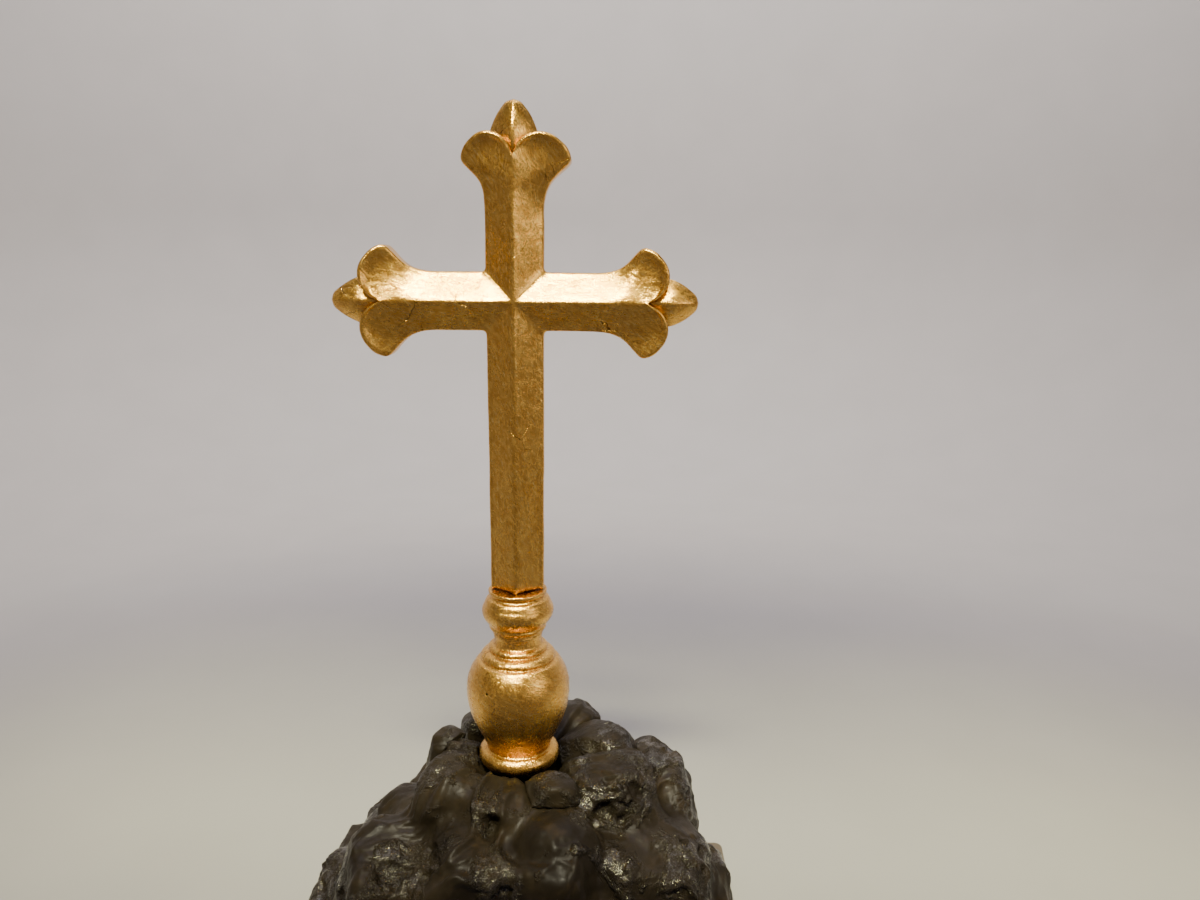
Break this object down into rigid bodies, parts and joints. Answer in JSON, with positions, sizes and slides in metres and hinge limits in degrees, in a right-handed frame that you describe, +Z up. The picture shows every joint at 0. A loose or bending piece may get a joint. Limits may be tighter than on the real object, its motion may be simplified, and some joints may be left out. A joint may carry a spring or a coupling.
{
  "type": "altar cross",
  "caption": "Gilded altar cross with fleury ends and ridged bars on a turned vase knop, standing in a socket on a dark rock mound with a flat board base.",
  "frame": {"origin": "middle of the underside of the felt under the board", "axes": "+Z up, the cross's front faces -Y, +X to the viewer's right"},
  "size_m": [0.308, 0.208, 0.5764],
  "materials": {
    "gilding": "burnished gold leaf on gesso",
    "bare_wood": "planed",
    "painted_rock": "gloss varnish over dark paint",
    "painted_board": "satin paint",
    "steel": "plain",
    "felt": "felt"
  },
  "bodies": {
    "mound": {"seat_block": "painted_rock", "base_felt": "felt", "screw_front_left": "steel", "screw_front_right": "steel", "screw_rear_left": "steel", "screw_rear_right": "steel", "plinth_board": "painted_board", "core_lower": "bare_wood", "core_upper": "bare_wood", "rock_back_left_slab": "painted_rock", "rock_left_block": "painted_rock", "rock_left_lump": "painted_rock", "rock_left_ledge": "painted_rock", "rock_front_block": "painted_rock", "rock_front_right_flat": "painted_rock", "rock_front_slope": "painted_rock", "rock_right_hump": "painted_rock", "rock_right_back_slab": "painted_rock", "rock_back_right": "painted_rock", "rock_back_middle": "painted_rock", "rock_right_ridge": "painted_rock", "rock_right_rear": "painted_rock", "rock_right_flank": "painted_rock", "rock_right_front": "painted_rock", "rock_front_boulder": "painted_rock", "rock_front_left": "painted_rock", "rock_left_slope": "painted_rock", "rock_left_boulder": "painted_rock", "rock_left_leaf": "painted_rock", "rock_left_rear": "painted_rock", "rock_left_flank": "painted_rock", "rock_front_low_left": "painted_rock", "rock_front_low": "painted_rock", "rock_front_low_middle": "painted_rock", "rock_front_low_right": "painted_rock", "rock_rear_low_left": "painted_rock", "rock_rear_low": "painted_rock", "rock_rear_low_right": "painted_rock"},
    "cross": {"upright": "gilding", "crossbeam": "gilding", "lap_dowel": "bare_wood", "collar": "gilding", "vase": "gilding", "foot_ring": "gilding", "centre_rod": "steel", "locating_pin": "steel", "petal_top_left": "gilding", "petal_top_right": "gilding", "bud_top": "gilding", "bud_dowel_top": "bare_wood", "petal_right_upper": "gilding", "petal_right_lower": "gilding", "bud_right": "gilding", "bud_dowel_right": "bare_wood", "petal_left_lower": "gilding", "petal_left_upper": "gilding", "bud_left": "gilding", "bud_dowel_left": "bare_wood"}
  },
  "joints": [
    {"name": "cross_lift", "type": "slide", "parent": "mound", "child": "cross", "axis": [0, 0, 1], "range_m": [0, 0.09]}
  ]
}
